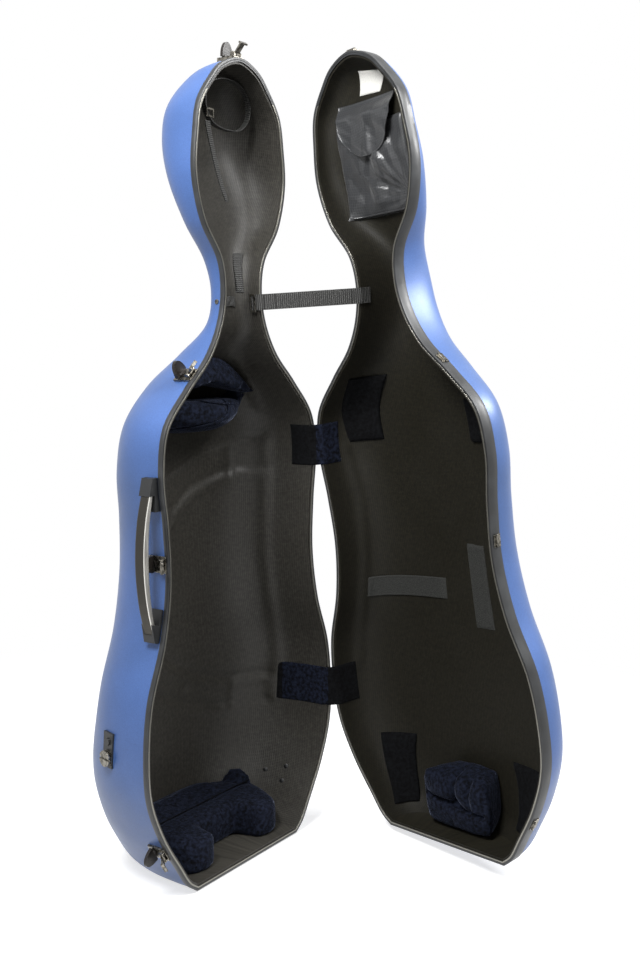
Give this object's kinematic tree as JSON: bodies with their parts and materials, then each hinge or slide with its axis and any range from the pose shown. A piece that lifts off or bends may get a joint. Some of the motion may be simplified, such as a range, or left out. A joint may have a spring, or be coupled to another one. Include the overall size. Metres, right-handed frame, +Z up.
{
  "type": "cello hard case",
  "caption": "Hard cello case in satin blue with a side-hinged lid standing open, cushioned interior, four twist latches and a carrying handle.",
  "frame": {"origin": "centre of the underside of the rubber pad the case stands on", "axes": "+Z up along the case; +Y into the depth of the body, away from the open side; +X towards the hinge side"},
  "size_m": [0.5863, 0.7058, 1.3594],
  "materials": {
    "lacquered_shell": "satin metallic blue lacquer on a moulded shell",
    "black_rubber": "matt black",
    "rim_strip": "satin light metal strip",
    "lining_foam": "moulded foam faced with dark woven textile",
    "velvet": "navy velvet over soft foam",
    "webbing": "black woven webbing",
    "nylon_cloth": "slightly shiny black nylon",
    "brushed_grip": "brushed grey metal",
    "black_plastic": "satin black moulded plastic",
    "turn_plastic": "dark moulded plastic",
    "nickel_plate": "nickel plate"
  },
  "bodies": {
    "case_body": {"body_shell": "lacquered_shell", "body_lining": "lining_foam", "body_rim_band": "black_rubber", "body_valance": "rim_strip", "base_pad": "black_rubber", "latch_top_base": "nickel_plate", "latch_shoulder_base": "nickel_plate", "latch_waist_base": "nickel_plate", "latch_corner_base": "nickel_plate", "hinge_lower_body_leaf": "nickel_plate", "hinge_lower_pin": "nickel_plate", "hinge_upper_body_leaf": "nickel_plate", "hinge_upper_pin": "nickel_plate", "handle_grip": "brushed_grip", "handle_bracket_upper": "black_plastic", "handle_bracket_lower": "black_plastic", "strap_stud_plate": "black_plastic", "strap_stud": "black_plastic", "strap_bracket_body": "nickel_plate", "neck_rivet": "nickel_plate", "bottom_cushion": "velvet", "shoulder_cushion": "velvet", "stay_strap": "webbing", "hinge_cover_upper": "velvet", "hinge_cover_lower": "velvet", "scroll_strap": "webbing", "scroll_strap_tail": "webbing", "scroll_strap_slide": "nickel_plate", "neck_strap": "webbing", "neck_strap_band": "webbing", "neck_strap_slide": "nickel_plate"},
    "lid": {"lid_shell": "lacquered_shell", "lid_lining": "lining_foam", "lid_rim_band": "black_rubber", "lid_valance": "rim_strip", "keeper_top": "nickel_plate", "keeper_shoulder": "nickel_plate", "keeper_waist": "nickel_plate", "keeper_corner": "nickel_plate", "hinge_lower_lid_leaf": "nickel_plate", "hinge_upper_lid_leaf": "nickel_plate", "strap_bracket_lid": "nickel_plate", "lid_cushion": "velvet", "lid_pad_upper_hinge": "velvet", "lid_pad_upper_latch": "velvet", "lid_pad_lower_hinge": "velvet", "lid_pad_lower_latch": "velvet", "lid_hook_strip_cross": "webbing", "lid_hook_strip_upright": "webbing", "pocket": "nylon_cloth", "pocket_flap": "nylon_cloth"},
    "hook_top": {"latch_top_hook": "nickel_plate"},
    "turn_top": {"latch_top_turn": "turn_plastic"},
    "hook_shoulder": {"latch_shoulder_hook": "nickel_plate"},
    "turn_shoulder": {"latch_shoulder_turn": "turn_plastic"},
    "hook_waist": {"latch_waist_hook": "nickel_plate"},
    "turn_waist": {"latch_waist_turn": "turn_plastic"},
    "hook_corner": {"latch_corner_hook": "nickel_plate"},
    "turn_corner": {"latch_corner_turn": "turn_plastic"}
  },
  "joints": [
    {"name": "lid_hinge", "type": "hinge", "parent": "case_body", "child": "lid", "pos_m": [0.2569, -0.08, 0.25004], "axis": [-0.104, 0, 0.9946], "range_deg": [-72.6, 0], "deforming": ["stay_strap", "hinge_cover_upper", "hinge_cover_lower"]},
    {"name": "hook_top", "type": "hinge", "parent": "case_body", "child": "hook_top", "pos_m": [0, -0.07, 1.3374], "axis": [-1, 0, 0], "range_deg": [-50, 40]},
    {"name": "turn_top", "type": "hinge", "parent": "case_body", "child": "turn_top", "pos_m": [0, -0.051, 1.3339], "axis": [0, 0, 1], "range_deg": [0, 180]},
    {"name": "hook_shoulder", "type": "hinge", "parent": "case_body", "child": "hook_shoulder", "pos_m": [-0.12611, -0.07, 0.83564], "axis": [-0.7549, 0, -0.6558], "range_deg": [-50, 40]},
    {"name": "turn_shoulder", "type": "hinge", "parent": "case_body", "child": "turn_shoulder", "pos_m": [-0.12382, -0.051, 0.833], "axis": [-0.6558, 0, 0.7549], "range_deg": [0, 180]},
    {"name": "hook_waist", "type": "hinge", "parent": "case_body", "child": "hook_waist", "pos_m": [-0.20113, -0.07, 0.54369], "axis": [0.0374, 0, -0.9993], "range_deg": [-50, 40]},
    {"name": "turn_waist", "type": "hinge", "parent": "case_body", "child": "turn_waist", "pos_m": [-0.19764, -0.051, 0.54382], "axis": [-0.9993, 0, -0.0374], "range_deg": [0, 180]},
    {"name": "hook_corner", "type": "hinge", "parent": "case_body", "child": "hook_corner", "pos_m": [-0.21113, -0.07, 0.08406], "axis": [0.5385, 0, -0.8426], "range_deg": [-50, 40]},
    {"name": "turn_corner", "type": "hinge", "parent": "case_body", "child": "turn_corner", "pos_m": [-0.20819, -0.051, 0.08595], "axis": [-0.8426, 0, -0.5385], "range_deg": [0, 180]}
  ]
}
